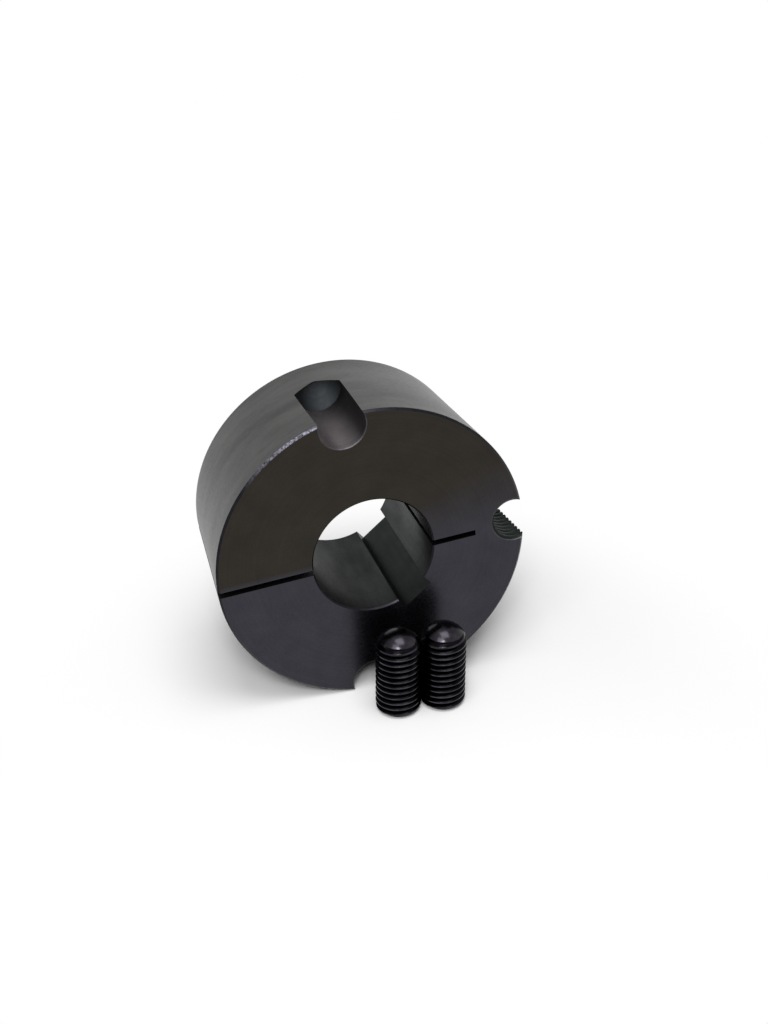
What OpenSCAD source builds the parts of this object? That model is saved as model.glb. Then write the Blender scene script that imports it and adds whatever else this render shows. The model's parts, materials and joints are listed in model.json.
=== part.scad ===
// Taper lock bushing for a shaft, standing on its rim, with its two set screws upright in front of it.
// Lengths are in millimetres and angles in degrees.
// The origin is the middle of the bore, the large face looks towards -Y, and +Z is up.

/* [Bush] */
// Diameter of the taper at the large face
large_d = 108; // [102:0.5:116]
// Length of the bush along its axis
bush_length = 50.8; // [44:0.2:60]
// Angle between the taper and the axis
taper_angle = 4; // [3:0.25:5]
// Chamfer round the rim of both faces
rim_chamfer = 0.8; // [0.3:0.1:1.5]

/* [Bore and keyway] */
// Diameter of the bore
bore_d = 42; // [30:1:50]
// Bevel at both mouths of the bore
bore_bevel = 0.5; // [0.2:0.1:1]
// Width of the keyway
keyway_w = 12; // [8:1:16]
// Depth of the keyway beyond the bore
keyway_depth = 3.3; // [2:0.1:5]
// Angle of the keyway from the jacking hole
keyway_angle = -55.5; // [-70:0.5:-35]

/* [Slits] */
// Width of the through slit and of the relief slit
slit_w = 2; // [1:0.1:3]
// Angle of the slits from the jacking hole
slit_angle = -0.5; // [-4:0.5:4]
// How far below the axis the middle of the slits lies
slit_drop = 1; // [0:0.1:2]
// Metal left between the relief slit and the jacking hole
relief_web = 6.3; // [3:0.1:10]

/* [Screw holes] */
// How far inside the rim of the large face the centres of the three half holes lie
hole_inset = 3.4; // [2.8:0.1:4.4]
// Angle from the jacking hole to each plain hole
plain_hole_angle = 95.5; // [85:0.5:105]
// Depth of the full width of a plain hole
plain_hole_depth = 30.3; // [26:0.1:36]
// How much wider a plain hole is than the screw thread
plain_hole_clearance = 0.4; // [0.1:0.1:1]
// Angle of the drill point at the end of a plain hole
drill_point_angle = 118; // [90:1:140]
// Bevel at the mouths of the three half holes
mouth_bevel = 0.3; // [0.1:0.1:0.7]

/* [Set screws] */
// Nominal diameter of the thread
thread_d = 15.875; // [14:0.125:18]
// Pitch of the thread
thread_pitch = 2.309; // [1.8:0.001:2.8]
// How much smaller than nominal the screw's thread is
thread_allowance = 0.15; // [0.05:0.05:0.4]
// Length of a screw from its socket end to the top of its dome
screw_length = 31.75; // [28:0.25:40]
// How much larger the radius of the domed point is than that of the screw's thread
dome_extra_r = 0.45; // [0.1:0.05:4]
// Step from the root of the thread in to the foot of the dome
dome_step = 0.1; // [0.1:0.05:0.3]
// Size of the hexagon socket across its flats
socket_size = 7.94; // [6:0.01:9]
// Depth of the socket to the end of its flats
socket_depth = 9; // [6:0.5:12]
// How much narrower than the socket its pilot hole is
pilot_allowance = 0.2; // [0.1:0.1:1]

/* [Standing] */
// Distance of the left screw's axis to the right of the bush's axis
left_screw_x = 4; // [-10:0.5:20]
// Space between the rim of the bush and the left screw
rim_to_screw = 4.4; // [1:0.1:20]
// Space between the crests of the two screws
screw_gap = 0.1; // [0.1:0.1:10]
// How much further forward the right screw stands
right_screw_forward = 0.8; // [0:0.1:5]

/* [Hidden] */

$fn = 96;
// How far a cutting shape runs past the face that it cuts
overcut = 1;

half_length = bush_length / 2;
large_r = large_d / 2;
bore_r = bore_d / 2;
thread_r = thread_d / 2;
plain_hole_r = (thread_d + plain_hole_clearance) / 2;
hole_circle_r = large_r - hole_inset;
relief_slit_end = hole_circle_r - thread_r - relief_web;

// Radius of the taper at a depth behind the large face
function taper_r(depth) = large_r - depth * tan(taper_angle);

// The bush stands on the lower plain hole: on its two lips behind the chamfers, and on the point
// where its drill point runs out of the taper. A drop is a distance below the axis, along the face.
drill_point_slope = tan(drill_point_angle / 2);
lip_depth = max(rim_chamfer, mouth_bevel);
lip_drop = (pow(taper_r(lip_depth), 2) + pow(hole_circle_r, 2) - pow(plain_hole_r, 2)) / (2 * hole_circle_r);
runout_depth = (plain_hole_r + plain_hole_depth * drill_point_slope + hole_circle_r - large_r)
    / (drill_point_slope - tan(taper_angle));
runout_drop = taper_r(runout_depth);
lean = atan((lip_drop - runout_drop) / (runout_depth - lip_depth));
roll = plain_hole_angle - 90;
floor_z = (half_length - lip_depth) * sin(lean) - lip_drop * cos(lean);
rim_y = -half_length * cos(lean) - lip_drop * sin(lean);

// Thread form, cut off flat at the crest and at the root: the angle between its flanks, its depth as a
// share of the pitch, and the share of the pitch that each flat takes
flank_angle = 55;
depth_share = 0.64;
flat_share = 0.5 - depth_share * tan(flank_angle / 2);
thread_depth = depth_share * thread_pitch;
crest_r = thread_r - thread_allowance / 2;
root_r = crest_r - thread_depth;
// The dome is turned to a ball, which also turns down the last crests and meets the root at the thread's end
dome_ball_r = crest_r + dome_extra_r;
dome_ball_z = screw_length - dome_ball_r;
thread_length = dome_ball_z + sqrt(pow(dome_ball_r, 2) - pow(root_r, 2));
// Flat steps in one turn of the thread
thread_steps = 24;
// Share of the pitch at which the four corners of the form lie, and their radii
corner_share = [0, flat_share, 0.5, 0.5 + flat_share];
corner_r = [root_r, root_r, crest_r, crest_r];
corners = len(corner_share);
thread_rows = corners * (ceil(thread_length / thread_pitch) + 3);

socket_corner_r = socket_size / 2 / cos(30);
pilot_d = socket_size - pilot_allowance;
dome_foot_r = root_r - dome_step;

// Radius of the dome's ball at a height on the thread
function ball_r(z) =
    z < thread_length ? sqrt(pow(dome_ball_r, 2) - pow(max(z - dome_ball_z, 0), 2)) : root_r;

// Angle of one column of the thread's corners
function column_angle(column) = 360 * column / thread_steps;

// Height of one corner on the endless helix
function helix_z(column, row) =
    thread_pitch * (floor(row / corners) - 1 + corner_share[row % corners] + column / thread_steps);

// The same height, held between the two ends of the thread
function corner_z(column, row) = min(max(helix_z(column, row), 0), thread_length);

// Corner of the thread, drawn in to the root by a 45 degree chamfer at the foot and by the ball at the top
function thread_corner(column, row) =
    let (z = corner_z(column, row))
    let (r = min(corner_r[row % corners], root_r + z, ball_r(z)))
    [r * cos(column_angle(column)), r * sin(column_angle(column)), z];

// Place of a corner in the list of points: the column after the last is the first, one turn on
function corner_index(column, row) =
    column < thread_steps ? column * (thread_rows + 1) + row : row + corners;

// Rows of faces between a column and the next
function face_rows(column) = column < thread_steps - 1 ? thread_rows : thread_rows - corners;

// Solid rod with a helical thread, from z = 0 up to thread_length
module threaded_rod() {
    points = [
        for (column = [0 : thread_steps - 1], row = [0 : thread_rows])
            thread_corner(column, row)
    ];
    rising = [
        for (column = [0 : thread_steps - 1], row = [0 : face_rows(column) - 1])
            if (helix_z(column, row + 1) > 0 && helix_z(column, row) < thread_length)
                [corner_index(column, row), corner_index(column, row + 1), corner_index(column + 1, row + 1)]
    ];
    falling = [
        for (column = [0 : thread_steps - 1], row = [0 : face_rows(column) - 1])
            if (helix_z(column + 1, row + 1) > 0 && helix_z(column + 1, row) < thread_length)
                [corner_index(column, row), corner_index(column + 1, row + 1), corner_index(column + 1, row)]
    ];
    socket_end = [for (column = [0 : thread_steps - 1]) corner_index(column, 0)];
    dome_end = [for (column = [thread_steps - 1 : -1 : 0]) corner_index(column, thread_rows)];
    polyhedron(points, concat(rising, falling, [socket_end, dome_end]));
}

// Domed point: a ball cut off at its foot, on a neck that runs down into the rod
module dome() {
    rotate_extrude()
        translate([0, dome_ball_z])
            intersection() {
                circle(dome_ball_r);
                square([dome_foot_r, dome_ball_r]);
            }
}

// Hexagon socket with a countersunk mouth and the cone that its pilot drill leaves
module socket_cut() {
    translate([0, 0, -overcut])
        cylinder(h = overcut + socket_depth, r = socket_corner_r, $fn = 6);
    translate([0, 0, -overcut])
        cylinder(h = overcut + socket_corner_r, r1 = overcut + socket_corner_r, r2 = 0);
    translate([0, 0, socket_depth])
        cylinder(h = pilot_d / 2 / drill_point_slope, d1 = pilot_d, d2 = 0);
}

// Set screw on its socket end, with its axis on Z and its foot at z = 0
module set_screw() {
    difference() {
        union() {
            threaded_rod();
            dome();
        }
        socket_cut();
    }
}

// Turned blank of the bush, on its small face with its axis on Z
module turned_blank() {
    small_r = taper_r(bush_length);
    chamfer_taper = rim_chamfer * tan(taper_angle);
    rotate_extrude()
        polygon([
            [bore_r + bore_bevel, 0],
            [small_r - rim_chamfer, 0],
            [small_r + chamfer_taper, rim_chamfer],
            [large_r - chamfer_taper, bush_length - rim_chamfer],
            [large_r - rim_chamfer, bush_length],
            [bore_r + bore_bevel, bush_length],
            [bore_r, bush_length - bore_bevel],
            [bore_r, bore_bevel],
        ]);
}

// Slot from face to face that runs out from the axis to the floor of the keyway
module keyway() {
    translate([0, -keyway_w / 2, -overcut])
        cube([bore_r + keyway_depth, keyway_w, bush_length + 2 * overcut]);
}

// Saw cut from face to face, through the wall on one side of the bore and into it on the other
module slits() {
    outside = large_r + overcut;
    translate([-outside, -slit_drop - slit_w / 2, -overcut])
        cube([outside + relief_slit_end, slit_w, bush_length + 2 * overcut]);
}

// Plain hole drilled from the large face, with its drill point
module plain_hole() {
    drill_point_h = plain_hole_r / drill_point_slope;
    translate([hole_circle_r, 0, bush_length - plain_hole_depth])
        rotate_extrude()
            polygon([
                [0, -drill_point_h],
                [plain_hole_r, 0],
                [plain_hole_r, plain_hole_depth - mouth_bevel],
                [plain_hole_r + mouth_bevel + overcut, plain_hole_depth + overcut],
                [0, plain_hole_depth + overcut],
            ]);
}

// Jacking hole that is threaded from face to face, drawn at the full diameter of its thread
module jacking_hole() {
    mouth_r = thread_r + mouth_bevel + overcut;
    translate([hole_circle_r, 0, 0])
        rotate_extrude()
            polygon([
                [0, -overcut],
                [mouth_r, -overcut],
                [thread_r, mouth_bevel],
                [thread_r, bush_length - mouth_bevel],
                [mouth_r, bush_length + overcut],
                [0, bush_length + overcut],
            ]);
}

// Puts the upright blank on its rim, leaning back on the lower plain hole
module on_its_rim() {
    rotate([90 - lean, 0, 0])
        rotate([0, 0, roll])
            translate([0, 0, -half_length])
                children();
}

// Puts an upright screw on the floor in front of the bush
module on_the_floor(x, forward) {
    translate([x, rim_y - rim_to_screw - thread_r - forward, floor_z])
        children();
}

module bush() {
    color("#2c2b2b")
        on_its_rim()
            difference() {
                turned_blank();
                rotate([0, 0, keyway_angle])
                    keyway();
                rotate([0, 0, slit_angle])
                    slits();
                for (side = [-1, 1])
                    rotate([0, 0, side * plain_hole_angle])
                        plain_hole();
                jacking_hole();
            }
}

module set_screw_left() {
    color("#151515")
        on_the_floor(left_screw_x, 0)
            set_screw();
}

module set_screw_right() {
    color("#151515")
        on_the_floor(left_screw_x + 2 * crest_r + screw_gap, right_screw_forward)
            set_screw();
}

bush();
set_screw_left();
set_screw_right();
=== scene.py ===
"""Finish and studio stage of a split taper bush that stands on its rim behind its two set screws.

Lengths are in metres. The bush's own axes have X to the right, Y up its large face and Z out of that face,
with their origin in the middle of the bore.
"""

import json
import math

import bmesh
import bpy
from bpy.props import FloatProperty, FloatVectorProperty, IntProperty, PointerProperty
from mathutils import Matrix, Vector


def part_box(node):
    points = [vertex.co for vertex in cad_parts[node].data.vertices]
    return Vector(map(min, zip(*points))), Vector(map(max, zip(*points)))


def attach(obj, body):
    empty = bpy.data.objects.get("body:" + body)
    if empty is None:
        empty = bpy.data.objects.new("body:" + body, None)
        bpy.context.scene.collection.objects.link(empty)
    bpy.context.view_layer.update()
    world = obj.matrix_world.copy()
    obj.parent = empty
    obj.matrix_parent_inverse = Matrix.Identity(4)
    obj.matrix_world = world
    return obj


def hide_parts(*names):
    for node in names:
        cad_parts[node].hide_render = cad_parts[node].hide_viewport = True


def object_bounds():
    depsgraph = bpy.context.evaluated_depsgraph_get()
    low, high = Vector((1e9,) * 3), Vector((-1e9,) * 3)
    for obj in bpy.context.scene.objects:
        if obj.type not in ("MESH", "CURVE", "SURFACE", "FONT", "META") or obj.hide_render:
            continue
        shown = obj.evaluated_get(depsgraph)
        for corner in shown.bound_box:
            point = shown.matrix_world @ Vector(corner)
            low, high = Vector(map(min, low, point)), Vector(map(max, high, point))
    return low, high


bl_info = {
    "name": "Taper Bush",
    "version": (1, 0, 0),
    "blender": (4, 5, 0),
    "location": "View3D > Sidebar > Taper Bush",
    "description": "Makes a split taper bush with its set screws, finishes them and sets up a studio",
    "category": "Object",
}

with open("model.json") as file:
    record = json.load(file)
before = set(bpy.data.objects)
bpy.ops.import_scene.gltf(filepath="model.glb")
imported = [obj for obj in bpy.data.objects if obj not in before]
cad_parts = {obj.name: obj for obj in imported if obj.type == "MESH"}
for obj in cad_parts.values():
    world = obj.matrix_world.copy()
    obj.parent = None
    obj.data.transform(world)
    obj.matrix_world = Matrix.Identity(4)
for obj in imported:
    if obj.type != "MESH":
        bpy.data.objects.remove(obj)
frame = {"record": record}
CAD_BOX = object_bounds()

MM = 0.001
BODY = "root"
MOUNTS = {mount["name"]: mount for mount in frame["record"]["mounts"]}

# The bore's axis out of the large face, and the turn from the bush's own axes to the frame
BUSH_AXIS = -Vector(MOUNTS["shaft_bore"]["axis"])
BUSH_TURN = Matrix.Rotation(math.pi / 2 - math.asin(BUSH_AXIS.z), 4, "X")

# Size of a set screw, over its thread and from its foot to the top of its dome
LEFT_SCREW_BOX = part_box("set_screw_left")
SCREW_SPAN = LEFT_SCREW_BOX[1] - LEFT_SCREW_BOX[0]

# Points closer than this are one point
WELD = 0.001 * MM
# Edges sharper than this stay crisp
CREASE = math.radians(28)
# Depth to which handling burnishes the crests and the domes of the screws; on the crests the burnished grey
# is also a painted highlight
BURNISH = 0.06 * MM
# How much rougher the turned domes are than the screws' threads
DOME_DULLING = 0.04
# How far a cutter runs past the face that it cuts
OVERCUT = 1 * MM
# How much longer than the bush the tap is, so that its drawn-in ends lie outside
TAP_OVERRUN = 8 * MM
# Turns that a thread has beyond its length, half of them below its foot; they shrink into its ends
SPARE_TURNS = 3
# Flat steps from the foot of a dome to its top, for each step round a rounded edge of the thread
DOME_STEPS = 5
# Angle of the drill point at the end of a screw's socket
PILOT_POINT = math.radians(118)

# Range that most values of a noise lie in
NOISE_LOW, NOISE_HIGH = 0.3, 0.7
# How far the roughness of the phosphate coat strays either way
ROUGHNESS_SPREAD = 0.04
# Height of the bumps that tools and oil leave
BUMP_HEIGHT = 0.02 * MM
# How bright the coat of the bore and the keyway gets where it is seen along its surface
DULL_EDGE = 0.72

# Lamps: name, azimuth and elevation in degrees, distance from the bush, length of a side, power in watts
SOFTBOXES = (
    ("overhead_softbox", 6, 77, 1.0, 0.6, 5.2),
    ("side_softbox", -39, 47, 0.9, 0.4, 1.9),
    ("front_softbox", -19, 42, 0.8, 0.18, 2.2),
)
# The floor's middle, round which it keeps its shadows, lies in front of the bush and to its right
FLOOR_MIDDLE = (10 * MM, -40 * MM)
# Length of the camera's sensor in millimetres
SENSOR_LENGTH = 36

# Places in the lists of sockets of a colour Mix node
MIX_A, MIX_B, MIX_RESULT = 6, 7, 2

# Order of the bush's finishes in its material slots
TURNED_FACE, TURNED_TAPER, CHAMFERED, BORED, DRILLED, DRILL_POINT, SAWN, BROACHED, TAPPED, MOUTH = range(10)


def linear_colour(code):
    """Linear red, green and blue of an sRGB hex colour."""
    shares = [int(code[place : place + 2], 16) / 255 for place in (1, 3, 5)]
    return [s / 12.92 if s <= 0.04045 else ((s + 0.055) / 1.055) ** 2.4 for s in shares]


def mount_place(name):
    """Place of a mount in the bush's own axes."""
    return BUSH_TURN.inverted() @ Vector(MOUNTS[name]["pos_m"])


def mount_angle(name):
    """Angle of a mount round the bush's axis, from the right, seen from the large face."""
    place = mount_place(name)
    return math.atan2(place.y, place.x)


# Angle of the plane of both slits, half a degree short of the jacking hole
SLIT_ANGLE = mount_angle("jacking_half_hole") - math.radians(0.5)


class BushSizes(bpy.types.PropertyGroup):
    """Sizes of the bush"""

    large_radius: FloatProperty(
        name="Large radius",
        description="Radius of the taper at the large face",
        default=54 * MM,
        unit="LENGTH",
    )
    length: FloatProperty(
        name="Length",
        description="Length of the bush along its axis",
        default=50.8 * MM,
        unit="LENGTH",
    )
    taper_angle: FloatProperty(
        name="Taper angle",
        description="Angle between the taper and the axis",
        default=math.radians(4),
        subtype="ANGLE",
    )
    rim_chamfer: FloatProperty(
        name="Rim chamfer",
        description="Chamfer round the rim of both faces",
        default=0.8 * MM,
        unit="LENGTH",
    )
    bore_radius: FloatProperty(
        name="Bore radius",
        description="Radius of the bore",
        default=MOUNTS["shaft_bore"]["dims"]["r_mm"] * MM,
        unit="LENGTH",
    )
    bore_bevel: FloatProperty(
        name="Bore bevel",
        description="Bevel at both mouths of the bore",
        default=0.5 * MM,
        unit="LENGTH",
    )
    keyway_width: FloatProperty(
        name="Keyway width",
        description="Width of the keyway",
        default=12 * MM,
        unit="LENGTH",
    )
    keyway_depth: FloatProperty(
        name="Keyway depth",
        description="Depth of the keyway beyond the bore",
        default=3.3 * MM,
        unit="LENGTH",
    )
    slit_width: FloatProperty(
        name="Slit width",
        description="Width of the through slit and of the relief slit",
        default=2 * MM,
        unit="LENGTH",
    )
    slit_drop: FloatProperty(
        name="Slit drop",
        description="How far below the axis the middle of the slits lies",
        default=1 * MM,
        unit="LENGTH",
    )
    relief_web: FloatProperty(
        name="Relief web",
        description="Metal left between the relief slit and the jacking hole",
        default=6.3 * MM,
        unit="LENGTH",
    )
    plain_hole_radius: FloatProperty(
        name="Plain hole radius",
        description="Radius of the two plain half holes",
        default=8.1375 * MM,
        unit="LENGTH",
    )
    plain_hole_depth: FloatProperty(
        name="Plain hole depth",
        description="Depth of the full width of a plain half hole",
        default=30.3 * MM,
        unit="LENGTH",
    )
    drill_point: FloatProperty(
        name="Drill point",
        description="Angle of the drill point at the end of a plain half hole",
        default=math.radians(118),
        subtype="ANGLE",
    )
    mouth_bevel: FloatProperty(
        name="Mouth bevel",
        description="Bevel at the mouths of the half holes",
        default=0.3 * MM,
        unit="LENGTH",
    )
    turn_steps: IntProperty(
        name="Turn steps",
        description="Flat steps round a turned surface of the bush",
        default=240,
        min=24,
    )


class ScrewSizes(bpy.types.PropertyGroup):
    """Sizes of the set screws and of the thread that they turn in"""

    thread_radius: FloatProperty(
        name="Thread radius",
        description="Full radius of the thread in the jacking hole",
        default=7.9375 * MM,
        unit="LENGTH",
    )
    pitch: FloatProperty(
        name="Pitch",
        description="Rise of the thread in one turn",
        default=2.309 * MM,
        unit="LENGTH",
    )
    flank_angle: FloatProperty(
        name="Flank angle",
        description="Angle between the two flanks of the thread",
        default=math.radians(55),
        subtype="ANGLE",
    )
    depth: FloatProperty(
        name="Thread depth",
        description="Depth of the thread from crest to root",
        default=1.478 * MM,
        unit="LENGTH",
    )
    crest_rounding: FloatProperty(
        name="Crest rounding",
        description="Radius at both edges of the thread's flat crest and root",
        default=0.07 * MM,
        unit="LENGTH",
    )
    tap_drill_radius: FloatProperty(
        name="Tap drill radius",
        description="Radius of the hole that the jacking hole's thread is cut in",
        default=7.1 * MM,
        unit="LENGTH",
    )
    dome_radius: FloatProperty(
        name="Dome radius",
        description="Radius of the ball that the domed point is turned to, larger than the thread's",
        default=8.3125 * MM,
        unit="LENGTH",
    )
    socket_flats: FloatProperty(
        name="Socket flats",
        description="Size of the hexagon socket across its flats",
        default=7.94 * MM,
        unit="LENGTH",
    )
    socket_depth: FloatProperty(
        name="Socket depth",
        description="Depth of the socket to the end of its flats",
        default=9 * MM,
        unit="LENGTH",
    )
    pilot_radius: FloatProperty(
        name="Pilot radius",
        description="Radius of the pilot hole whose point shows at the end of the socket",
        default=3.87 * MM,
        unit="LENGTH",
    )
    turn_steps: IntProperty(
        name="Turn steps",
        description="Flat steps in one turn of the thread, a multiple of six",
        default=96,
        min=24,
    )
    arc_steps: IntProperty(
        name="Arc steps",
        description="Flat steps round each rounded edge of the thread",
        default=3,
        min=1,
    )


class FinishColours(bpy.types.PropertyGroup):
    """Colours of the finishes"""

    # The two colours of the large face are a painted reflection, split at the slits
    face_low: FloatVectorProperty(
        name="Face, lower part",
        description="Blue-black of the large face below the slits",
        default=linear_colour("#3a393f"),
        subtype="COLOR",
        min=0,
        max=1,
    )
    face_high: FloatVectorProperty(
        name="Face, upper part",
        description="Brown-black of the large face above the slits",
        default=linear_colour("#322f2b"),
        subtype="COLOR",
        min=0,
        max=1,
    )
    taper: FloatVectorProperty(
        name="Taper",
        description="Grey of the turned taper",
        default=linear_colour("#3c3c3b"),
        subtype="COLOR",
        min=0,
        max=1,
    )
    chamfer: FloatVectorProperty(
        name="Chamfer",
        description="Dark grey of the chamfers",
        default=linear_colour("#222125"),
        subtype="COLOR",
        min=0,
        max=1,
    )
    scuffed_iron: FloatVectorProperty(
        name="Scuffed iron",
        description="Paler grey of a chamfer where its finish is scuffed",
        default=linear_colour("#62616b"),
        subtype="COLOR",
        min=0,
        max=1,
    )
    bore: FloatVectorProperty(
        name="Bore",
        description="Grey of the bored wall",
        default=linear_colour("#2b2c2c"),
        subtype="COLOR",
        min=0,
        max=1,
    )
    hole: FloatVectorProperty(
        name="Hole",
        description="Warm grey of the drilled walls",
        default=linear_colour("#5a5556"),
        subtype="COLOR",
        min=0,
        max=1,
    )
    point: FloatVectorProperty(
        name="Drill point",
        description="Blue-grey of the ends of the plain half holes",
        default=linear_colour("#3e4245"),
        subtype="COLOR",
        min=0,
        max=1,
    )
    tapped: FloatVectorProperty(
        name="Tapped thread",
        description="Near black of the thread in the jacking half hole",
        default=linear_colour("#212624"),
        subtype="COLOR",
        min=0,
        max=1,
    )
    mouth: FloatVectorProperty(
        name="Mouths",
        description="Paler grey of the bevels at the mouths of the half holes",
        default=linear_colour("#48464a"),
        subtype="COLOR",
        min=0,
        max=1,
    )
    cut: FloatVectorProperty(
        name="Cuts",
        description="Dark grey of the slits and the keyway",
        default=linear_colour("#252727"),
        subtype="COLOR",
        min=0,
        max=1,
    )
    screw: FloatVectorProperty(
        name="Screws",
        description="Black of the oxide on the set screws",
        default=linear_colour("#0e0e10"),
        subtype="COLOR",
        min=0,
        max=1,
    )
    # The crests' grey is burnish and also a painted highlight
    crest: FloatVectorProperty(
        name="Thread crests",
        description="Grey of the burnished crests of the screws' threads",
        default=linear_colour("#3d3d42"),
        subtype="COLOR",
        min=0,
        max=1,
    )
    dome: FloatVectorProperty(
        name="Domes",
        description="Dark grey of the screws' domed points",
        default=linear_colour("#2e2c31"),
        subtype="COLOR",
        min=0,
        max=1,
    )
    floor: FloatVectorProperty(
        name="Floor",
        description="White of the floor",
        default=linear_colour("#f8f8f8"),
        subtype="COLOR",
        min=0,
        max=1,
    )


class StageSettings(bpy.types.PropertyGroup):
    """Camera and light of the studio"""

    camera_place: FloatVectorProperty(
        name="Camera place",
        description="Place of the camera",
        default=(-131.5 * MM, -458.2 * MM, 298.9 * MM),
        subtype="TRANSLATION",
    )
    camera_azimuth: FloatProperty(
        name="Camera azimuth",
        description="How far the camera looks to the right of straight at the large face",
        default=math.radians(17.33),
        subtype="ANGLE",
    )
    camera_drop: FloatProperty(
        name="Camera drop",
        description="How far the camera looks down",
        default=math.radians(31.79),
        subtype="ANGLE",
    )
    focal_length: FloatProperty(
        name="Focal length",
        description="Focal length of the camera on a sensor 36 mm long, in millimetres",
        default=56.6,
    )
    ambient: FloatProperty(
        name="Ambient light",
        description="Strength of the even light from all round on matt surfaces",
        default=0.24,
        min=0,
    )
    floor_size: FloatProperty(
        name="Floor size",
        description="Length of a side of the floor",
        default=8.0,
        unit="LENGTH",
    )
    shadow_reach: FloatProperty(
        name="Shadow reach",
        description="Distance from the bush within which the floor keeps its shadows",
        default=140 * MM,
        unit="LENGTH",
    )


def add_node(tree, kind, inputs=None, **settings):
    """Adds a node. Inputs are plain values or sockets to link, under their name or place."""
    node = tree.nodes.new(kind)
    for name, value in settings.items():
        setattr(node, name, value)
    for name, value in (inputs or {}).items():
        if isinstance(value, bpy.types.NodeSocket):
            tree.links.new(value, node.inputs[name])
        else:
            node.inputs[name].default_value = value
    return node


def new_material(name):
    """A material without nodes, and the tree that its shader goes into."""
    material = bpy.data.materials.new(name)
    material.use_nodes = True
    material.node_tree.nodes.clear()
    return material, material.node_tree


def bush_position(tree):
    """Sockets with the place of a point in the bush's own axes, and with its X, Y and Z."""
    place = add_node(tree, "ShaderNodeTexCoord").outputs["Object"]
    turn = add_node(
        tree,
        "ShaderNodeMapping",
        {"Vector": place, "Rotation": BUSH_TURN.to_euler()},
        vector_type="TEXTURE",
    )
    parts = add_node(tree, "ShaderNodeSeparateXYZ", {"Vector": turn.outputs["Vector"]})
    return turn.outputs["Vector"], *parts.outputs


def per_mm(spacing):
    """Scale of a noise whose grains are this many millimetres wide."""
    return 1 / (spacing * MM)


def phosphate(
    tree, place, across, colour, roughness, cloud_size, clouding, line_spacing, lining, edge=1.0
):
    """Adds the shader of cast iron that was cut on a machine and blackened by phosphating.

    It is a dark metal with a dull, slightly oily gloss and a cloudy tone, and the tool's lines show through.
    Across is the socket that counts the lines. They are drawn wider apart than the tool's feed, so that they
    show. Clouding and lining are the shares by which clouds and lines change the tone, and edge is how bright
    the coat gets where it is seen along its surface.
    """
    clouds = add_node(
        tree,
        "ShaderNodeTexNoise",
        {"Vector": place, "Scale": per_mm(cloud_size), "Detail": 5.0, "Roughness": 0.6},
    )
    lines = add_node(
        tree,
        "ShaderNodeTexNoise",
        {"W": across, "Scale": per_mm(line_spacing), "Detail": 3.0},
        noise_dimensions="1D",
    )
    tones = [
        add_node(
            tree,
            "ShaderNodeMapRange",
            {
                "Value": pattern.outputs["Fac"],
                "From Min": NOISE_LOW,
                "From Max": NOISE_HIGH,
                "To Min": 1 - share,
                "To Max": 1 + share,
            },
        ).outputs["Result"]
        for pattern, share in ((clouds, clouding), (lines, lining))
    ]
    tone = add_node(tree, "ShaderNodeMath", {0: tones[0], 1: tones[1]}, operation="MULTIPLY")
    base = add_node(
        tree,
        "ShaderNodeVectorMath",
        {0: colour, "Scale": tone.outputs["Value"]},
        operation="SCALE",
    )
    grain = add_node(
        tree,
        "ShaderNodeTexNoise",
        {"Vector": place, "Scale": per_mm(0.7), "Detail": 2.0},
    )
    rough = add_node(
        tree,
        "ShaderNodeMapRange",
        {
            "Value": grain.outputs["Fac"],
            "From Min": NOISE_LOW,
            "From Max": NOISE_HIGH,
            "To Min": roughness - ROUGHNESS_SPREAD,
            "To Max": roughness + ROUGHNESS_SPREAD,
        },
    )
    bump = add_node(
        tree,
        "ShaderNodeBump",
        {"Strength": 0.08, "Distance": BUMP_HEIGHT, "Height": lines.outputs["Fac"]},
    )
    shader = add_node(
        tree,
        "ShaderNodeBsdfPrincipled",
        {
            "Base Color": base.outputs["Vector"],
            "Metallic": 1.0,
            "Roughness": rough.outputs["Result"],
            "Specular Tint": (edge, edge, edge, 1),
            "Normal": bump.outputs["Normal"],
        },
    )
    add_node(tree, "ShaderNodeOutputMaterial", {"Surface": shader.outputs["BSDF"]})


def turned_face(colours):
    """Phosphated iron, faced on a lathe: fine rings round the bore.

    The coat is painted brown-black above the slits and blue-black below them. This is a painted reflection:
    the halves, tilted a little apart at the slits, reflect different surroundings. The change is sharp along
    the through slit on the left, and drawn out over the solid web on the right.
    """
    material, tree = new_material("phosphated_iron_turned_face")
    place, right, up, _ = bush_position(tree)
    slit_side, web_side = -20 * MM, 40 * MM
    sharp, soft = 2 * MM, 24 * MM
    drawn_out = add_node(
        tree,
        "ShaderNodeMapRange",
        {"Value": right, "From Min": slit_side, "From Max": web_side, "To Min": sharp, "To Max": soft},
    )
    rise = math.tan(SLIT_ANGLE)
    above = add_node(
        tree,
        "ShaderNodeMath",
        {0: right, 1: -rise, 2: up},
        operation="MULTIPLY_ADD",
    )
    upper = add_node(
        tree,
        "ShaderNodeMath",
        {0: above.outputs["Value"], 1: drawn_out.outputs["Result"]},
        operation="DIVIDE",
        use_clamp=True,
    )
    # Painted reflection: the face's two tones stand in for its halves reflecting different surroundings
    painted_reflection_tone = add_node(
        tree,
        "ShaderNodeMix",
        {
            "Factor": upper.outputs["Value"],
            MIX_A: (*colours.face_low, 1),
            MIX_B: (*colours.face_high, 1),
        },
        data_type="RGBA",
    )
    level = add_node(
        tree,
        "ShaderNodeVectorMath",
        {0: place, 1: (1, 1, 0)},
        operation="MULTIPLY",
    )
    radius = add_node(
        tree,
        "ShaderNodeVectorMath",
        {0: level.outputs["Vector"]},
        operation="LENGTH",
    )
    phosphate(
        tree,
        place,
        radius.outputs["Value"],
        painted_reflection_tone.outputs[MIX_RESULT],
        roughness=0.3,
        cloud_size=9,
        clouding=0.09,
        line_spacing=1.2,
        lining=0.03,
    )
    return material


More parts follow.
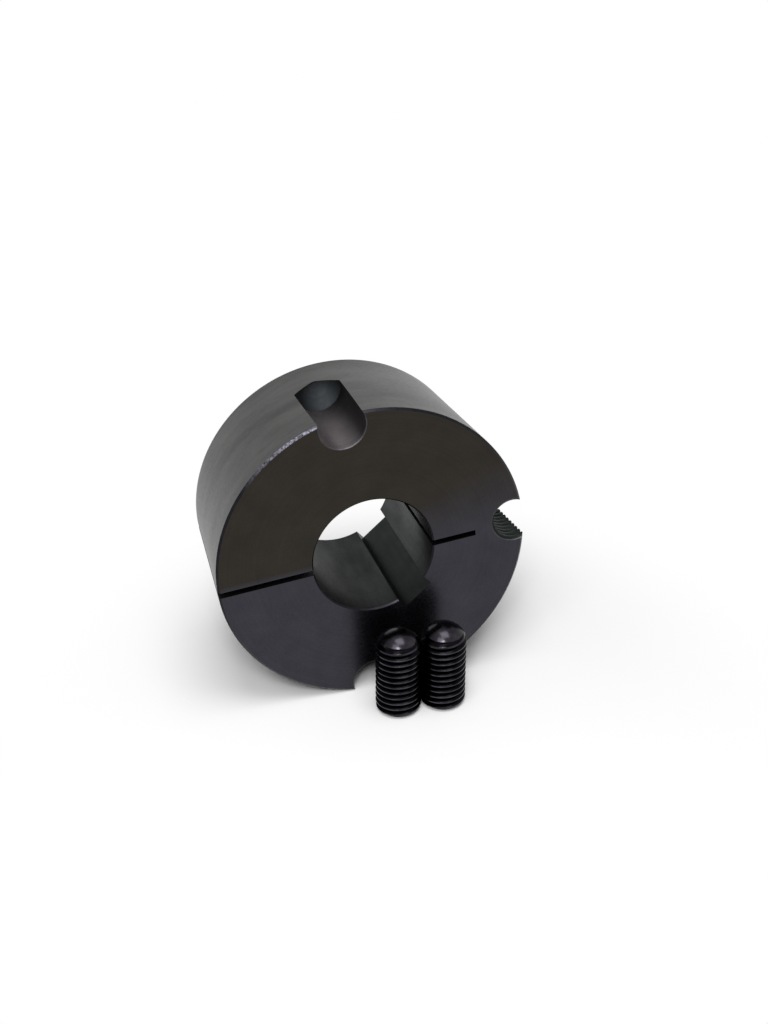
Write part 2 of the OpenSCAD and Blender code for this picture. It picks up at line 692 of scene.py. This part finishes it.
def turned_taper(colours):
    """Phosphated iron, taper turned: fine lines round the axis, and paler and darker patches drawn out along
    them.
    """
    material, tree = new_material("phosphated_iron_turned_taper")
    place, _, _, along = bush_position(tree)
    # The patches are drawn out round the axis, and moved to where the paler and darker ones are wanted
    squeeze, move = (0.6, 0.6, 2.0), (0.407, 0.253, 0.561)
    drawn_patches = add_node(
        tree,
        "ShaderNodeVectorMath",
        {0: place, 1: squeeze, 2: move},
        operation="MULTIPLY_ADD",
    )
    phosphate(
        tree,
        drawn_patches.outputs["Vector"],
        along,
        colours.taper,
        roughness=0.36,
        cloud_size=22,
        clouding=0.6,
        line_spacing=1.5,
        lining=0.07,
    )
    return material


def rubbed_chamfer(colours):
    """Phosphated iron on a chamfer: dark, and scuffed through to the pale iron beside the upper half hole."""
    material, tree = new_material("phosphated_iron_rubbed_chamfer")
    place, _, _, along = bush_position(tree)
    scuff_turn = math.radians(22)
    scuff_place = Matrix.Rotation(scuff_turn, 3, "Z") @ mount_place("upper_plain_half_hole")
    full_scuff, scuff_reach = 9 * MM, 20 * MM
    away = add_node(
        tree,
        "ShaderNodeVectorMath",
        {0: place, 1: scuff_place},
        operation="DISTANCE",
    )
    near = add_node(
        tree,
        "ShaderNodeMapRange",
        {
            "Value": away.outputs["Value"],
            "From Min": full_scuff,
            "From Max": scuff_reach,
            "To Min": 1.0,
            "To Max": 0.0,
        },
        interpolation_type="SMOOTHSTEP",
    )
    scratches = add_node(
        tree,
        "ShaderNodeTexNoise",
        {"Vector": place, "Scale": per_mm(0.9), "Detail": 4.0, "Roughness": 0.7},
    )
    scuffed = add_node(
        tree,
        "ShaderNodeMapRange",
        {"Value": scratches.outputs["Fac"], "From Min": 0.38, "From Max": 0.62},
    )
    share = add_node(
        tree,
        "ShaderNodeMath",
        {0: near.outputs["Result"], 1: scuffed.outputs["Result"]},
        operation="MULTIPLY",
    )
    tone = add_node(
        tree,
        "ShaderNodeMix",
        {"Factor": share.outputs["Value"], MIX_A: (*colours.chamfer, 1), MIX_B: (*colours.scuffed_iron, 1)},
        data_type="RGBA",
    )
    phosphate(
        tree,
        place,
        along,
        tone.outputs[MIX_RESULT],
        roughness=0.32,
        cloud_size=2.5,
        clouding=0.2,
        line_spacing=0.5,
        lining=0.1,
    )
    return material


def bored_wall(colours):
    """Phosphated iron, bored: dark, with fine lines round the bore.

    Paler streaks run along it, and its right side is paler, as if a shaft had rubbed it.
    """
    material, tree = new_material("phosphated_iron_bored")
    place, right, _, along = bush_position(tree)
    plain_side, rubbed_side = 8 * MM, 20 * MM
    rubbed = add_node(
        tree,
        "ShaderNodeMapRange",
        {"Value": right, "From Min": plain_side, "From Max": rubbed_side, "To Min": 1.0, "To Max": 1.6},
    )
    wall = add_node(
        tree,
        "ShaderNodeVectorMath",
        {0: colours.bore, "Scale": rubbed.outputs["Result"]},
        operation="SCALE",
    )
    draw_out = (1.0, 1.0, 0.3)
    streaks = add_node(
        tree,
        "ShaderNodeVectorMath",
        {0: place, 1: draw_out},
        operation="MULTIPLY",
    )
    phosphate(
        tree,
        streaks.outputs["Vector"],
        along,
        wall.outputs["Vector"],
        roughness=0.36,
        cloud_size=7,
        clouding=0.5,
        line_spacing=1.2,
        lining=0.06,
        edge=DULL_EDGE,
    )
    return material


def drilled_wall(colours):
    """Phosphated iron, drilled: warm grey with coarse rings down the hole, painted paler on the left wall and
    painted darker on the right.
    """
    material, tree = new_material("phosphated_iron_drilled")
    place, right, _, along = bush_position(tree)
    middle = mount_place("upper_plain_half_hole").x
    light_and_shade_reach = 7 * MM
    # Painted light and shade: the left wall is painted up to 2.2 times paler, the right wall down to 0.4
    # times darker
    painted_light_and_shade = add_node(
        tree,
        "ShaderNodeMapRange",
        {
            "Value": right,
            "From Min": middle - light_and_shade_reach,
            "From Max": middle + light_and_shade_reach,
            "To Min": 2.2,
            "To Max": 0.4,
        },
    )
    shaded = add_node(
        tree,
        "ShaderNodeVectorMath",
        {0: colours.hole, "Scale": painted_light_and_shade.outputs["Result"]},
        operation="SCALE",
    )
    phosphate(
        tree,
        place,
        along,
        shaded.outputs["Vector"],
        roughness=0.42,
        cloud_size=5,
        clouding=0.12,
        line_spacing=1.6,
        lining=0.06,
    )
    return material


def drill_point(colours):
    """Phosphated iron under the drill's point: bluer, with the drill's rings, a painted highlight in its
    middle and painted shade round its edge.
    """
    material, tree = new_material("phosphated_iron_drill_point")
    place, _, _, along = bush_position(tree)
    # The painted highlight is brightest a little to the right of the hole's middle and below it
    highlight_spot = mount_place("upper_plain_half_hole") + Vector((1.5, -2.5, 0)) * MM
    highlight_reach = 7 * MM
    level = add_node(tree, "ShaderNodeVectorMath", {0: place, 1: (1, 1, 0)}, operation="MULTIPLY")
    away = add_node(
        tree,
        "ShaderNodeVectorMath",
        {0: level.outputs["Vector"], 1: (*highlight_spot.xy, 0)},
        operation="DISTANCE",
    )
    # Painted highlight at the middle of the point, fading to painted shade towards its edge
    painted_light_and_shade = add_node(
        tree,
        "ShaderNodeMapRange",
        {"Value": away.outputs["Value"], "From Max": highlight_reach, "To Min": 1.4, "To Max": 0.35},
    )
    shaded = add_node(
        tree,
        "ShaderNodeVectorMath",
        {0: colours.point, "Scale": painted_light_and_shade.outputs["Result"]},
        operation="SCALE",
    )
    phosphate(
        tree,
        place,
        along,
        shaded.outputs["Vector"],
        roughness=0.6,
        cloud_size=4,
        clouding=0.15,
        line_spacing=0.8,
        lining=0.1,
    )
    return material


def sawn_slit(colours):
    """Phosphated iron, slit with a saw: dark, with marks across the cut."""
    material, tree = new_material("phosphated_iron_sawn")
    place, right, _, _ = bush_position(tree)
    phosphate(
        tree,
        place,
        right,
        colours.cut,
        roughness=0.45,
        cloud_size=6,
        clouding=0.15,
        line_spacing=1.4,
        lining=0.12,
    )
    return material


def broached_keyway(colours):
    """Phosphated iron, broached: dark, with straight marks along the keyway."""
    material, tree = new_material("phosphated_iron_broached")
    place, right, _, _ = bush_position(tree)
    phosphate(
        tree,
        place,
        right,
        colours.cut,
        roughness=0.38,
        cloud_size=6,
        clouding=0.2,
        line_spacing=1.2,
        lining=0.06,
        edge=DULL_EDGE,
    )
    return material


def tapped_thread(colours):
    """Phosphated iron, tapped: torn a little by the tap and full of oil, so nearly black."""
    material, tree = new_material("phosphated_iron_tapped")
    place, _, _, along = bush_position(tree)
    phosphate(
        tree,
        place,
        along,
        colours.tapped,
        roughness=0.48,
        cloud_size=3,
        clouding=0.3,
        line_spacing=0.6,
        lining=0.1,
    )
    return material


def rubbed_mouth(colours):
    """Phosphated iron on the mouths of the half holes: paler, because screws rub its coat thin there."""
    material, tree = new_material("phosphated_iron_rubbed_mouth")
    place, _, _, along = bush_position(tree)
    phosphate(
        tree,
        place,
        along,
        colours.mouth,
        roughness=0.4,
        cloud_size=2.5,
        clouding=0.3,
        line_spacing=0.5,
        lining=0.1,
    )
    return material


def black_oxide_steel(colours, crest_radius, dome_radius):
    """Alloy steel with black oxide and a film of oil.

    It is near black and glossy, burnished grey along the thread's crests, where the grey is partly a painted
    highlight, and patchy grey and a little duller on the turned dome.
    """
    material, tree = new_material("black_oxide_steel")
    place = add_node(tree, "ShaderNodeTexCoord").outputs["Object"]
    level = add_node(tree, "ShaderNodeVectorMath", {0: place, 1: (1, 1, 0)}, operation="MULTIPLY")
    radius = add_node(tree, "ShaderNodeVectorMath", {0: level.outputs["Vector"]}, operation="LENGTH")
    # Crests painted paler grey: real burnish, and also a painted highlight along each crest
    crest = add_node(
        tree,
        "ShaderNodeMapRange",
        {
            "Value": radius.outputs["Value"],
            "From Min": crest_radius - BURNISH,
            "From Max": crest_radius,
        },
    )
    threads = add_node(
        tree,
        "ShaderNodeMix",
        {"Factor": crest.outputs["Result"], MIX_A: (*colours.screw, 1), MIX_B: (*colours.crest, 1)},
        data_type="RGBA",
    )
    ball_centre = (0, 0, SCREW_SPAN.z - dome_radius)
    off_ball = add_node(tree, "ShaderNodeVectorMath", {0: place, 1: ball_centre}, operation="DISTANCE")
    above = add_node(tree, "ShaderNodeSeparateXYZ", {"Vector": place}).outputs["Z"]
    on_ball = add_node(
        tree,
        "ShaderNodeMapRange",
        {
            "Value": off_ball.outputs["Value"],
            "From Min": dome_radius - BURNISH,
            "From Max": dome_radius - BURNISH / 2,
        },
    )
    over_thread = add_node(
        tree,
        "ShaderNodeMath",
        {0: above, 1: ball_centre[2]},
        operation="GREATER_THAN",
    )
    domed = add_node(
        tree,
        "ShaderNodeMath",
        {0: on_ball.outputs["Result"], 1: over_thread.outputs["Value"]},
        operation="MULTIPLY",
    )
    tone = add_node(
        tree,
        "ShaderNodeMix",
        {
            "Factor": domed.outputs["Value"],
            MIX_A: threads.outputs[MIX_RESULT],
            MIX_B: (*colours.dome, 1),
        },
        data_type="RGBA",
    )
    clouds = add_node(
        tree,
        "ShaderNodeTexNoise",
        {"Vector": place, "Scale": per_mm(4), "Detail": 4.0, "Roughness": 0.5},
    )
    patchy = add_node(
        tree,
        "ShaderNodeMapRange",
        {
            "Value": clouds.outputs["Fac"],
            "From Min": NOISE_LOW,
            "From Max": NOISE_HIGH,
            "To Min": 0.5,
            "To Max": 1.5,
        },
    )
    base = add_node(
        tree,
        "ShaderNodeVectorMath",
        {0: tone.outputs[MIX_RESULT], "Scale": patchy.outputs["Result"]},
        operation="SCALE",
    )
    grain = add_node(
        tree,
        "ShaderNodeTexNoise",
        {"Vector": place, "Scale": per_mm(0.6), "Detail": 2.0},
    )
    rough = add_node(
        tree,
        "ShaderNodeMapRange",
        {
            "Value": grain.outputs["Fac"],
            "From Min": NOISE_LOW,
            "From Max": NOISE_HIGH,
            "To Min": 0.14,
            "To Max": 0.2,
        },
    )
    softened = add_node(
        tree,
        "ShaderNodeMath",
        {0: domed.outputs["Value"], 1: DOME_DULLING, 2: rough.outputs["Result"]},
        operation="MULTIPLY_ADD",
    )
    bump = add_node(
        tree,
        "ShaderNodeBump",
        {"Strength": 0.1, "Distance": BUMP_HEIGHT, "Height": clouds.outputs["Fac"]},
    )
    shader = add_node(
        tree,
        "ShaderNodeBsdfPrincipled",
        {
            "Base Color": base.outputs["Vector"],
            "Metallic": 1.0,
            "Roughness": softened.outputs["Value"],
            "Normal": bump.outputs["Normal"],
        },
    )
    add_node(tree, "ShaderNodeOutputMaterial", {"Surface": shader.outputs["BSDF"]})
    return material


def seen_directly(tree):
    """Socket that is 1 for what the camera sees, also in a mirror or through glass, and otherwise 0."""
    path = add_node(tree, "ShaderNodeLightPath")
    seen = path.outputs["Is Camera Ray"]
    for ray in ("Is Glossy Ray", "Is Transmission Ray"):
        seen = add_node(
            tree,
            "ShaderNodeMath",
            {0: seen, 1: path.outputs[ray]},
            operation="MAXIMUM",
        ).outputs["Value"]
    return seen


def matt_white_floor(colours, stage):
    """Matt white board: shadows show near the bush, and further off it goes over to plain white."""
    material, tree = new_material("matt_white_board")
    board = add_node(
        tree,
        "ShaderNodeBsdfPrincipled",
        {
            "Base Color": (*colours.floor, 1),
            "Roughness": 0.7,
            "Specular IOR Level": 0.2,
        },
    )
    place = add_node(tree, "ShaderNodeTexCoord").outputs["Object"]
    distance = add_node(
        tree,
        "ShaderNodeVectorMath",
        {0: place},
        operation="LENGTH",
    )
    far = add_node(
        tree,
        "ShaderNodeMapRange",
        {
            "Value": distance.outputs["Value"],
            "From Min": stage.shadow_reach / 2,
            "From Max": stage.shadow_reach,
        },
        interpolation_type="SMOOTHSTEP",
    )
    share = add_node(
        tree,
        "ShaderNodeMath",
        {0: seen_directly(tree), 1: far.outputs["Result"]},
        operation="MULTIPLY",
    )
    white = add_node(tree, "ShaderNodeEmission", {"Strength": 1.0})
    mix = add_node(
        tree,
        "ShaderNodeMixShader",
        {0: share.outputs["Value"], 1: board.outputs["BSDF"], 2: white.outputs["Emission"]},
    )
    add_node(tree, "ShaderNodeOutputMaterial", {"Surface": mix.outputs["Shader"]})
    return material


def add_skin(bm, rings, finish=0, turn_rows=0):
    """Adds the faces between rings of points.

    On a helix, each ring's end meets the start of the ring that lies turn_rows further on.
    """
    rows = [[bm.verts.new(point) for point in ring] for ring in rings]
    columns = len(rows[0])
    for column in range(columns):
        after = (column + 1) % columns
        jump = turn_rows if after == 0 else 0
        for row in range(len(rows) - 1 - jump):
            corners = (
                rows[row][column],
                rows[row + jump][after],
                rows[row + jump + 1][after],
                rows[row + 1][column],
            )
            face = bm.faces.new(corners)
            face.material_index = finish
            face.smooth = True


def ring(radius, height, steps):
    """Points of a level circle round Z."""
    angles = [2 * math.pi * step / steps for step in range(steps)]
    return [Vector((radius * math.cos(a), radius * math.sin(a), height)) for a in angles]


def check_closed(bm, name):
    """Stops the script if a solid has an open edge."""
    if not all(edge.is_manifold for edge in bm.edges):
        raise RuntimeError(f"{name} isn't a closed solid")


def mesh_of(bm, name):
    """Closes a solid by welding the points that meet, and turns it into a mesh with crisp edges."""
    bmesh.ops.remove_doubles(bm, verts=bm.verts, dist=WELD)
    bmesh.ops.recalc_face_normals(bm, faces=bm.faces)
    check_closed(bm, name)
    mesh = bpy.data.meshes.new(name)
    bm.to_mesh(mesh)
    bm.free()
    mesh.set_sharp_from_angle(angle=CREASE)
    return mesh


def new_object(name, data):
    """An object for a mesh, a lamp or a camera, linked into the scene."""
    made = bpy.data.objects.new(name, data)
    bpy.context.scene.collection.objects.link(made)
    return made


def revolved(name, profile, steps):
    """Solid turned from a closed profile of radius, height and the finish of the side that starts there."""
    bm = bmesh.new()
    for (radius, height, finish), (next_radius, next_height, _) in zip(profile, profile[1:] + profile[:1]):
        on_axis = radius == next_radius == 0
        if not on_axis:
            add_skin(bm, [ring(radius, height, steps), ring(next_radius, next_height, steps)], finish)
    return new_object(name, mesh_of(bm, name))


def slot_cutter(name, low, high, half_length, angle, finish):
    """Block between two corners, seen from the large face, that cuts a slot through both faces."""
    bm = bmesh.new()
    bmesh.ops.create_cube(bm, size=1)
    size = Matrix.Diagonal((high[0] - low[0], high[1] - low[1], 2 * half_length, 1))
    middle = Matrix.Translation(((low[0] + high[0]) / 2, (low[1] + high[1]) / 2, 0))
    place = Matrix.Rotation(angle, 4, "Z") @ middle
    bmesh.ops.transform(bm, matrix=place @ size, verts=bm.verts)
    for face in bm.faces:
        face.material_index = finish
    return new_object(name, mesh_of(bm, name))


def thread_profile(sizes, crest_radius):
    """One pitch of the thread as height and radius: a flat root and a flat crest with rounded edges."""
    lean = math.pi / 2 - sizes.flank_angle / 2
    edge = sizes.crest_rounding
    # Distance from a sharp corner of the form to the end of its rounding
    setback = edge * math.tan(lean / 2)
    flat = (sizes.pitch / 2 - sizes.depth * math.tan(sizes.flank_angle / 2)) / 2 - setback
    swings = [lean * step / sizes.arc_steps for step in range(sizes.arc_steps + 1)]
    root_radius = crest_radius - sizes.depth
    half_root = [(flat + edge * math.sin(s), root_radius + edge * (1 - math.cos(s))) for s in swings]
    half_crest = [(flat + edge * math.sin(s), crest_radius - edge * (1 - math.cos(s))) for s in swings]
    half_pitch = sizes.pitch / 2
    root = [(-height, radius) for height, radius in reversed(half_root)] + half_root
    crest = [(-height, radius) for height, radius in reversed(half_crest)] + half_crest
    return root + [(half_pitch + height, radius) for height, radius in crest]


def dome_height(sizes, crest_radius):
    """Height of the domed point above the end of the thread, where its ball meets the root."""
    root_radius = crest_radius - sizes.depth
    return sizes.dome_radius - math.sqrt(sizes.dome_radius**2 - root_radius**2)


def add_thread(bm, sizes, crest_radius, length, finish=0):
    """Adds a right-hand thread from z = 0 up to its length.

    It is drawn in to the root by a 45 degree chamfer at its foot, and by the ball of the dome at its top.
    """
    profile = thread_profile(sizes, crest_radius)
    root_radius = crest_radius - sizes.depth
    ball_height = length + dome_height(sizes, crest_radius) - sizes.dome_radius
    steps = sizes.turn_steps
    turns = math.ceil(length / sizes.pitch) + SPARE_TURNS
    rings = []
    for turn in range(turns):
        for rise, radius in profile:
            points = []
            for step in range(steps):
                angle = 2 * math.pi * step / steps
                height = rise + sizes.pitch * (turn - SPARE_TURNS / 2 + step / steps)
                height = min(max(height, 0), length)
                ball_radius = math.sqrt(sizes.dome_radius**2 - max(height - ball_height, 0) ** 2)
                held = min(radius, root_radius + height, ball_radius)
                points.append(Vector((held * math.cos(angle), held * math.sin(angle), height)))
            rings.append(points)
    add_skin(bm, rings, finish, len(profile))
    return root_radius


def cut(piece, cutter):
    """Cuts one solid out of another, and removes the cutter."""
    modifier = piece.modifiers.new(cutter.name, "BOOLEAN")
    modifier.operation = "DIFFERENCE"
    modifier.solver = "EXACT"
    modifier.material_mode = "INDEX"
    modifier.object = cutter
    view = bpy.context.evaluated_depsgraph_get()
    mesh = bpy.data.meshes.new_from_object(piece.evaluated_get(view))
    piece.modifiers.clear()
    used = piece.data
    piece.data = mesh
    bpy.data.meshes.remove(used)
    bpy.data.objects.remove(cutter)


def turned_blank(sizes):
    """Turned ring of the bush, with its taper, faces, bore and chamfers."""
    half = sizes.length / 2
    slope = math.tan(sizes.taper_angle)
    small_radius = sizes.large_radius - sizes.length * slope
    chamfer, bevel = sizes.rim_chamfer, sizes.bore_bevel
    mouth_radius = sizes.bore_radius + bevel
    profile = [
        (mouth_radius, -half, TURNED_FACE),
        (small_radius - chamfer, -half, CHAMFERED),
        (small_radius + chamfer * slope, -half + chamfer, TURNED_TAPER),
        (sizes.large_radius - chamfer * slope, half - chamfer, CHAMFERED),
        (sizes.large_radius - chamfer, half, TURNED_FACE),
        (mouth_radius, half, CHAMFERED),
        (sizes.bore_radius, half - bevel, BORED),
        (sizes.bore_radius, -half + bevel, CHAMFERED),
    ]
    return revolved("taper_bush", profile, sizes.turn_steps)


def drill_cutter(name, sizes):
    """Drill for a plain half hole, with its point and a bevel for the mouth."""
    half = sizes.length / 2
    radius, bevel = sizes.plain_hole_radius, sizes.mouth_bevel
    foot = half - sizes.plain_hole_depth
    point = foot - radius / math.tan(sizes.drill_point / 2)
    profile = [
        (0, point, DRILL_POINT),
        (radius, foot, DRILLED),
        (radius, half - bevel, MOUTH),
        (radius + bevel + OVERCUT, half + OVERCUT, DRILLED),
        (0, half + OVERCUT, DRILLED),
    ]
    cutter = revolved(name, profile, sizes.turn_steps // 2)
    centre = mount_place(name)
    cutter.location = (centre.x, centre.y, 0)
    return cutter


def tap_drill_cutter(name, sizes, thread):
    """Drill for the jacking half hole, with a countersink for the thread's mouth at both faces."""
    half = sizes.length / 2
    radius = thread.tap_drill_radius
    mouth = half - sizes.mouth_bevel
    # The countersink is half as deep as it is wide
    sunk = mouth - (thread.thread_radius - radius) / 2
    wide = thread.thread_radius + sizes.mouth_bevel + OVERCUT
    profile = [
        (0, -half - OVERCUT, TAPPED),
        (wide, -half - OVERCUT, MOUTH),
        (thread.thread_radius, -mouth, TAPPED),
        (radius, -sunk, TAPPED),
        (radius, sunk, TAPPED),
        (thread.thread_radius, mouth, MOUTH),
        (wide, half + OVERCUT, TAPPED),
        (0, half + OVERCUT, TAPPED),
    ]
    cutter = revolved(name, profile, sizes.turn_steps // 2)
    centre = mount_place(name)
    cutter.location = (centre.x, centre.y, 0)
    return cutter


def tap_cutter(name, sizes, thread):
    """Tap for the thread of the jacking half hole, which runs through both faces."""
    length = sizes.length + TAP_OVERRUN
    steps = thread.turn_steps
    bm = bmesh.new()
    root_radius = add_thread(bm, thread, thread.thread_radius, length, TAPPED)
    for height in (0, length):
        add_skin(bm, [ring(0, height, steps), ring(root_radius, height, steps)], TAPPED)
    cutter = new_object(name, mesh_of(bm, name))
    centre = mount_place(name)
    cutter.location = (centre.x, centre.y, -length / 2)
    return cutter


def hexagon_radius(flats, angle):
    """Distance from the middle of a hexagon to its outline, with a corner at angle 0."""
    sector = math.pi / 3
    return flats / 2 / math.cos((angle % sector) - sector / 2)


def set_screw_mesh(sizes):
    """Set screw on its socket end, with a domed point and a hexagon socket."""
    steps = sizes.turn_steps
    length = SCREW_SPAN.z
    crest_radius = SCREW_SPAN.x / 2
    bm = bmesh.new()
    root_radius = add_thread(bm, sizes, crest_radius, length - dome_height(sizes, crest_radius))

    ball_radius = sizes.dome_radius
    foot_swing = math.asin(root_radius / ball_radius)
    dome_steps = DOME_STEPS * sizes.arc_steps
    dome = []
    for step in range(dome_steps + 1):
        swing = foot_swing * (1 - step / dome_steps)
        dome.append(ring(ball_radius * math.sin(swing), length - ball_radius * (1 - math.cos(swing)), steps))
    add_skin(bm, dome)

    corner_radius = hexagon_radius(sizes.socket_flats, 0)
    angles = [2 * math.pi * step / steps for step in range(steps)]
    outline = [
        Vector((math.cos(a), math.sin(a), 0)) * hexagon_radius(sizes.socket_flats, a) for a in angles
    ]
    mouth = [p + Vector((0, 0, corner_radius - p.length)) for p in outline]
    end = [p + Vector((0, 0, sizes.socket_depth)) for p in outline]
    point_height = sizes.socket_depth + sizes.pilot_radius / math.tan(PILOT_POINT / 2)
    socket = [
        ring(root_radius, 0, steps),
        ring(corner_radius, 0, steps),
        mouth,
        end,
        ring(sizes.pilot_radius, sizes.socket_depth, steps),
        ring(0, point_height, steps),
    ]
    add_skin(bm, socket)
    return mesh_of(bm, "set_screw")


class TAPERBUSH_OT_bush(bpy.types.Operator):
    """Machine the bush from a turned blank and give each cut its finish"""

    bl_idname = "taperbush.bush"
    bl_label = "Make Bush"

    def execute(self, context):
        sizes = context.scene.bush_sizes
        thread = context.scene.screw_sizes
        colours = context.scene.finish_colours
        bush = turned_blank(sizes)
        for finish in (
            turned_face,
            turned_taper,
            rubbed_chamfer,
            bored_wall,
            drilled_wall,
            drill_point,
            sawn_slit,
            broached_keyway,
            tapped_thread,
            rubbed_mouth,
        ):
            bush.data.materials.append(finish(colours))

        deep = sizes.length / 2 + OVERCUT
        keyway_reach = sizes.bore_radius + sizes.keyway_depth
        half_keyway = sizes.keyway_width / 2
        outside = sizes.large_radius + OVERCUT
        relief_end = mount_place("jacking_half_hole").xy.length - thread.thread_radius - sizes.relief_web
        slit_low = -sizes.slit_drop - sizes.slit_width / 2
        slit_high = slit_low + sizes.slit_width
        cutters = [
            slot_cutter(
                "keyway",
                (0, -half_keyway),
                (keyway_reach, half_keyway),
                deep,
                mount_angle("keyway"),
                BROACHED,
            ),
            slot_cutter(
                "slits",
                (-outside, slit_low),
                (relief_end, slit_high),
                deep,
                SLIT_ANGLE,
                SAWN,
            ),
            drill_cutter("upper_plain_half_hole", sizes),
            drill_cutter("lower_plain_half_hole", sizes),
            tap_drill_cutter("jacking_half_hole", sizes, thread),
            tap_cutter("jacking_half_hole", sizes, thread),
        ]
        for cutter in cutters:
            cut(bush, cutter)

        bm = bmesh.new()
        bm.from_mesh(bush.data)
        check_closed(bm, bush.name)
        bm.free()
        bush.data.transform(BUSH_TURN)
        bush.data.set_sharp_from_angle(angle=CREASE)
        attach(bush, BODY)
        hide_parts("bush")
        return {"FINISHED"}


class TAPERBUSH_OT_set_screws(bpy.types.Operator):
    """Make the two set screws and stand them where the frame has them"""

    bl_idname = "taperbush.set_screws"
    bl_label = "Make Set Screws"

    def execute(self, context):
        sizes = context.scene.screw_sizes
        mesh = set_screw_mesh(sizes)
        steel = black_oxide_steel(context.scene.finish_colours, SCREW_SPAN.x / 2, sizes.dome_radius)
        mesh.materials.append(steel)
        for side in ("left", "right"):
            low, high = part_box(f"set_screw_{side}")
            screw = new_object(f"{side}_set_screw", mesh)
            screw.location = ((low.x + high.x) / 2, (low.y + high.y) / 2, low.z)
            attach(screw, BODY)
            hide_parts(f"set_screw_{side}")
        return {"FINISHED"}


def aimed_from(azimuth, elevation, distance):
    """Place that far from the bush in a direction in degrees, from straight ahead of the large face."""
    turn, rise = math.radians(azimuth), math.radians(elevation)
    level = math.cos(rise)
    return distance * Vector((math.sin(turn) * level, -math.cos(turn) * level, math.sin(rise)))


def add_softbox(name, place, size, power):
    """Square lamp that looks at the bush."""
    lamp = bpy.data.lights.new(name, "AREA")
    lamp.shape = "SQUARE"
    lamp.size = size
    lamp.energy = power
    softbox = new_object(name, lamp)
    softbox.location = place
    softbox.rotation_euler = (-place).to_track_quat("-Z", "Y").to_euler()


class TAPERBUSH_OT_stage(bpy.types.Operator):
    """Set up the floor, the light and the camera"""

    bl_idname = "taperbush.stage"
    bl_label = "Set Up Stage"

    def execute(self, context):
        scene = context.scene
        stage = scene.stage_settings

        floor_mesh = bpy.data.meshes.new("floor")
        bm = bmesh.new()
        bmesh.ops.create_grid(bm, x_segments=1, y_segments=1, size=stage.floor_size / 2)
        bm.to_mesh(floor_mesh)
        bm.free()
        floor_mesh.materials.append(matt_white_floor(scene.finish_colours, stage))
        floor = new_object("floor", floor_mesh)
        floor.location = (*FLOOR_MIDDLE, CAD_BOX[0].z)

        for name, azimuth, elevation, distance, side, power in SOFTBOXES:
            add_softbox(name, aimed_from(azimuth, elevation, distance), side, power)

        scene.world = bpy.data.worlds.new("white_studio")
        scene.world.use_nodes = True
        tree = scene.world.node_tree
        tree.nodes.clear()
        strength = add_node(
            tree,
            "ShaderNodeMapRange",
            {"Value": seen_directly(tree), "To Min": stage.ambient, "To Max": 1.0},
        )
        sky = add_node(
            tree,
            "ShaderNodeBackground",
            {"Color": (1, 1, 1, 1), "Strength": strength.outputs["Result"]},
        )
        add_node(tree, "ShaderNodeOutputWorld", {"Surface": sky.outputs["Background"]})

        camera_data = bpy.data.cameras.new("camera")
        camera_data.lens = stage.focal_length
        camera_data.sensor_width = SENSOR_LENGTH
        camera_data.clip_start = 10 * MM
        camera = new_object("camera", camera_data)
        camera.location = stage.camera_place
        camera.rotation_euler = (math.pi / 2 - stage.camera_drop, 0, -stage.camera_azimuth)
        scene.camera = camera
        scene.view_settings.view_transform = "Standard"
        return {"FINISHED"}


class TAPERBUSH_PT_panel(bpy.types.Panel):
    """Sizes, colours and steps of the taper bush"""

    bl_label = "Taper Bush"
    bl_idname = "TAPERBUSH_PT_panel"
    bl_space_type = "VIEW_3D"
    bl_region_type = "UI"
    bl_category = "Taper Bush"

    def draw(self, context):
        for operator in OPERATORS:
            self.layout.operator(operator.bl_idname)
        for settings in SETTINGS:
            box = self.layout.box()
            group = getattr(context.scene, settings)
            for name in group.__annotations__:
                box.prop(group, name)


SETTINGS = {
    "bush_sizes": BushSizes,
    "screw_sizes": ScrewSizes,
    "finish_colours": FinishColours,
    "stage_settings": StageSettings,
}
OPERATORS = (TAPERBUSH_OT_bush, TAPERBUSH_OT_set_screws, TAPERBUSH_OT_stage)
CLASSES = (*SETTINGS.values(), *OPERATORS, TAPERBUSH_PT_panel)


def register():
    for kind in CLASSES:
        bpy.utils.register_class(kind)
    for name, kind in SETTINGS.items():
        setattr(bpy.types.Scene, name, PointerProperty(type=kind))


def unregister():
    for name in SETTINGS:
        delattr(bpy.types.Scene, name)
    for kind in reversed(CLASSES):
        bpy.utils.unregister_class(kind)


def main():
    register()
    bpy.ops.taperbush.bush()
    bpy.ops.taperbush.set_screws()
    bpy.ops.taperbush.stage()


if __name__ == "__main__":
    main()
